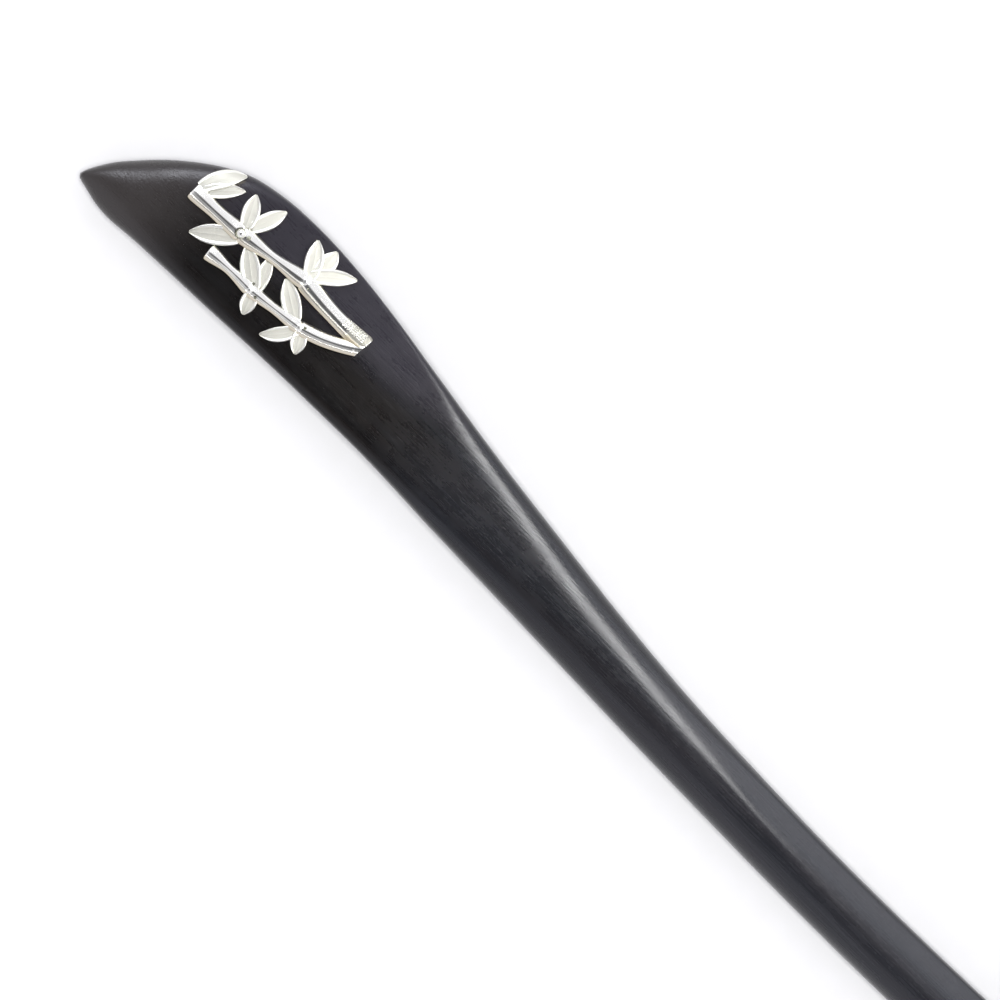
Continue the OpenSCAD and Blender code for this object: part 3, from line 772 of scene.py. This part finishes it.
def silverMaterial():
    look = silverLook
    material, tree, skin, place = newMaterial("cast_silver")
    skin.inputs["Metallic"].default_value = 1
    # the metal turns warm where tarnish lies low on the sides, and where a warm reflection is
    # painted on the stems' left rims
    frost, warm, matteFoot = [
        addNode(tree, "ShaderNodeAttribute", attribute_name=label).outputs["Fac"]
        for label in ("frost", "warm", "matte")]
    frost = addNode(tree, "ShaderNodeMath", {0: frost, 1: matteFoot}, operation="MAXIMUM").outputs[0]
    fine, broad = [addNode(tree, "ShaderNodeTexNoise", {
        "Vector": place, "Scale": 1 / (size * mm), "Detail": detail,
        "Roughness": roughness}).outputs[0]
        for size, detail, roughness in (look["frosting"], look["unevenness"])]
    frosted = addNode(tree, "ShaderNodeMapRange", {0: frost, 1: look["frostFrom"], 2: 1}).outputs[0]
    metal = linear(look["polished"])
    for share, colour in ((frosted, "frosted"), (matteFoot, "foot"), (warm, "patinaAndReflectionColour")):
        metal = addNode(tree, "ShaderNodeMix", {
            0: share, 6: metal, 7: linear(look[colour])}, data_type="RGBA").outputs[2]
    tree.links.new(metal, skin.inputs["Base Color"])
    rough, strength = [addNode(tree, "ShaderNodeMapRange", {
        0: frost, 1: 0, 2: 1, 3: look[label][0], 4: look[label][1]}).outputs[0]
        for label in ("roughness", "bumpStrength")]
    rough = addNode(tree, "ShaderNodeMath", {0: broad, 1: look["patchRoughness"], 2: rough},
                    operation="MULTIPLY_ADD").outputs[0]
    tree.links.new(rough, skin.inputs["Roughness"])
    bump = addNode(tree, "ShaderNodeBump", {
        "Height": fine, "Strength": strength, "Distance": look["bumpDepth"] * mm})
    tree.links.new(bump.outputs[0], skin.inputs["Normal"])
    return material


# Uncoated paper, pressed from pulp: a pale ground with no gloss, a little uneven like its fibres
paperLook = {
    "fibre": 2.5,            # millimetres, a real fibre's length. Its width would not show.
    "detail": 5, "tones": ("#cacac9", "#cecece"), "roughness": 0.9,
}


def paperMaterial():
    look = paperLook
    material, tree, skin, place = newMaterial("pale_paper")
    fibres = addNode(tree, "ShaderNodeTexNoise", {
        "Vector": place, "Scale": 1 / (look["fibre"] * mm), "Detail": look["detail"]}).outputs[0]
    darker, paler = [linear(tone) for tone in look["tones"]]
    tone = addNode(tree, "ShaderNodeMix", {0: fibres, 6: darker, 7: paler}, data_type="RGBA")
    tree.links.new(tone.outputs[2], skin.inputs["Base Color"])
    skin.inputs["Roughness"].default_value = look["roughness"]
    return material


ebony, silver = ebonyMaterial(), silverMaterial()
print("hair stick: ebony and silver mixed")

headFace = seatSurface()
leafLines = reliefSpines("leafLines", leafRows, spray["leafSteps"], leafWidthAt, lambda row: row[4])
stemLines = reliefSpines("stemLines", stemRows, spray["stemSteps"], stemWidthAt, lambda row: 1)
leafSection = sectionLoop("leafSection", leafTop)
stemSection = sectionLoop("stemSection", stemTop)
leafTree = reliefTree("bambooLeaf", leafOutline, leafRise)
stemTree = reliefTree("bambooStem", stemOutline, stemRise)
leaves = runTree(leafLines, leafTree, {
    "Section": leafSection, "Head Face": headFace, "Height": spray["leafHeight"] * mm,
    "Sink": spray["sink"] * mm}, "leaves")
stems = runTree(stemLines, stemTree, {
    "Section": stemSection, "Head Face": headFace, "Height": spray["stemHeight"] * mm,
    "Sink": spray["sink"] * mm}, "stems")

ballTree, grainTree = [
    roundsTree("GeometryNodeMeshUVSphere", Segments=count, Rings=count // 2)
    for count in (spray["ballSegments"], spray["grainSegments"])]
postTree = roundsTree("GeometryNodeMeshCylinder", Vertices=spray["postSegments"])
joints = rounds("joints", ballTree, [
    (onFace(place), wide * spray["stemWidth"] / 2, spray["stemHeight"] * spray["jointHeight"],
     spray["jointFrost"]) for place, wide in jointRows])
pitRounds = rounds("pits", ballTree, [
    (onFace(place, up * spray["stemHeight"]), wide / 2, deep, spray["pitFrost"])
    for place, wide, up, deep in pits])
balls = rounds("balls", ballTree, [
    (onFace(jointA, spray["stemHeight"]), spray["bead"] / 2, spray["bead"] / 2, 0),
    (onFace(footDrop["place"], footDrop["lift"]), footDrop["halfWidth"], footDrop["halfHeight"],
     footDrop["frost"])])
grainRounds = rounds("grains", grainTree, [
    (onFace(place, up * spray["stemHeight"] - patch["grainSink"]), patch["grainWidth"] / 2,
     patch["grainHalfHeight"], patch["frost"]) for place, up in grains])


# The two posts, grown by this much, from their length below the face up into the metal
def postRounds(name, grow):
    high = spray["postLength"] + grow + spray["stemHeight"] / 2
    return rounds(name, postTree, [
        (onFace(place, spray["stemHeight"] / 2 - high / 2), spray["post"] / 2 + grow, high / 2, 0)
        for place in (jointA, jointD)])


posts, holes = postRounds("posts", 0), postRounds("holes", spray["postGap"])
grownWood = runTree(spine, carveTree, dict(carveValues, Margin=spray["seatGap"] * mm), "grownWood")
castSpray = runTree(leaves, castTree(), {
    "Stems": stems, "Joints": joints, "Pits": pitRounds, "Grown Wood": grownWood, "Balls": balls,
    "Grains": grainRounds, "Posts": posts, "Material": silver}, "cast_spray")
castSpray.data.set_sharp_from_angle(angle=math.radians(spray["sharpAngle"]))
print("hair stick: spray cast,", len(castSpray.data.polygons), "faces")


# The two blind holes for the posts are drilled last
def drilledTree():
    tree, given = newTree("drilledStick", {
        "Wood": "Geometry", "Holes": "Object", "Material": "Material"})
    bits = addNode(tree, "GeometryNodeObjectInfo", {"Object": given["Holes"]}).outputs["Geometry"]
    drilled = addNode(tree, "GeometryNodeMeshBoolean", {"Mesh 1": given["Wood"], "Mesh 2": bits},
                      operation="DIFFERENCE", solver="MANIFOLD").outputs[0]
    real = addNode(tree, "GeometryNodeRealizeInstances", {0: drilled}).outputs[0]
    painted = addNode(tree, "GeometryNodeSetMaterial", {
        0: real, "Material": given["Material"]}).outputs[0]
    addNode(tree, "NodeGroupOutput", {0: painted})
    return tree


carvedStick = runTree(wholeStick, drilledTree(), {"Holes": holes, "Material": ebony},
                      "carved_stick")
discard(wholeStick, headFace, leafLines, stemLines, leafSection, stemSection, leaves, stems,
        joints, pitRounds, balls, grainRounds, posts, holes, grownWood, spine)
print("hair stick: stick drilled,", len(carvedStick.data.polygons), "faces")

for piece, node, slot in ((carvedStick, "stick", "ebony"), (castSpray, "bamboo_spray", "silver")):
    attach(piece, "root")
    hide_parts(node)

# Camera straight above the part, turned so that the stick runs down to the right. Its sizes are
# millimetres, and its frame is measured at that level above the floor.
photo = {"middle": (-36.18, 0.84), "level": 3.5, "frame": 100, "lens": 500, "sensor": 36,
         "turn": 45}
camera = bpy.data.objects.new("camera", bpy.data.cameras.new("camera"))
bpy.context.scene.collection.objects.link(camera)
camera.data.lens = photo["lens"]
camera.data.sensor_width = photo["sensor"]
height = photo["frame"] * photo["lens"] / camera.data.sensor_width
camera.location = Vector((*photo["middle"], photo["level"] + height)) * mm
camera.rotation_euler = (0, 0, math.radians(photo["turn"]))
camera.data.clip_start = 0.01
bpy.context.scene.camera = camera

# Pale floor, in metres
floorHalf = 3
floorCorners = [(-floorHalf, -floorHalf, 0), (floorHalf, -floorHalf, 0), (floorHalf, floorHalf, 0),
                (-floorHalf, floorHalf, 0)]
floorMesh = bpy.data.meshes.new("floor")
floorMesh.from_pydata(floorCorners, [], [(0, 1, 2, 3)])
floorMesh.materials.append(paperMaterial())
floor = bpy.data.objects.new("floor", floorMesh)
bpy.context.scene.collection.objects.link(floor)


# A lamp for "gloss" shows in reflections alone, and one for "cover" never shows in them
def softBox(name, place, target, size, power, tint, use="gloss"):
    lamp = bpy.data.lights.new(name, "AREA")
    lamp.shape = "RECTANGLE"
    lamp.size, lamp.size_y = size
    lamp.energy = power
    lamp.color = linear(tint)[:3]
    box = bpy.data.objects.new(name, lamp)
    box.location = place
    box.rotation_euler = (Vector(target) - Vector(place)).to_track_quat("-Z", "Y").to_euler()
    box.visible_camera = False
    box.visible_diffuse = use != "gloss"
    box.visible_glossy = use != "cover"
    bpy.context.scene.collection.objects.link(box)


# The light along the neck's ridge, the grey on the shaft's flat, a window's glow on the falling
# sides, the shine on the beak, and the wash that whitens the floor, in metres and watts
softBox("streakBox", (-0.0195, 0.035, 0.0606), (-0.0195, 0, 0), (0.047, 0.0305), 0.067, "#ffffff")
softBox("facetBox", (0.035, 0.1035, 0.0607), (0.035, 0, 0), (0.08, 0.05), 0.024, "#eef4ff")
softBox("windowBox", (0.32, 0.80, 0.22), (0, 0, 0), (1.0, 0.4), 1.2, "#f4f8ff")
softBox("beakBox", (-0.357, 0.277, 0.311), (-0.08, 0, 0), (0.14, 0.24), 1.3, "#f3f6ff")
softBox("floorBox", (-0.04, 0, 1.6), (-0.04, 0, 0), (0.4, 0.4), 28, "#ffffff", "cover")

# Light all round, with a dark patch overhead that gives level silver its grey. Its edge and core
# are cosines of the angle from the darkest direction.
sky = {"darkest": (0, -0.17, 0.985), "edge": 0.79, "core": 0.995, "bright": 1.0, "dark": 0.08,
       "tint": "#f3f2fc"}
world = bpy.data.worlds.new("studio")
bpy.context.scene.world = world
world.use_nodes = True
tree = world.node_tree
place = tree.nodes.new("ShaderNodeTexCoord").outputs["Generated"]
near = addNode(tree, "ShaderNodeVectorMath", {0: place, 1: Vector(sky["darkest"]).normalized()},
               operation="DOT_PRODUCT").outputs["Value"]
glow = addNode(tree, "ShaderNodeMapRange", {
    0: near, 1: sky["edge"], 2: sky["core"], 3: sky["bright"], 4: sky["dark"]},
    interpolation_type="SMOOTHSTEP").outputs[0]
tree.links.new(glow, tree.nodes["Background"].inputs["Strength"])
tree.nodes["Background"].inputs["Color"].default_value = linear(sky["tint"])

bpy.context.scene.view_settings.view_transform = "Standard"
print("hair stick: camera, floor and lights set")
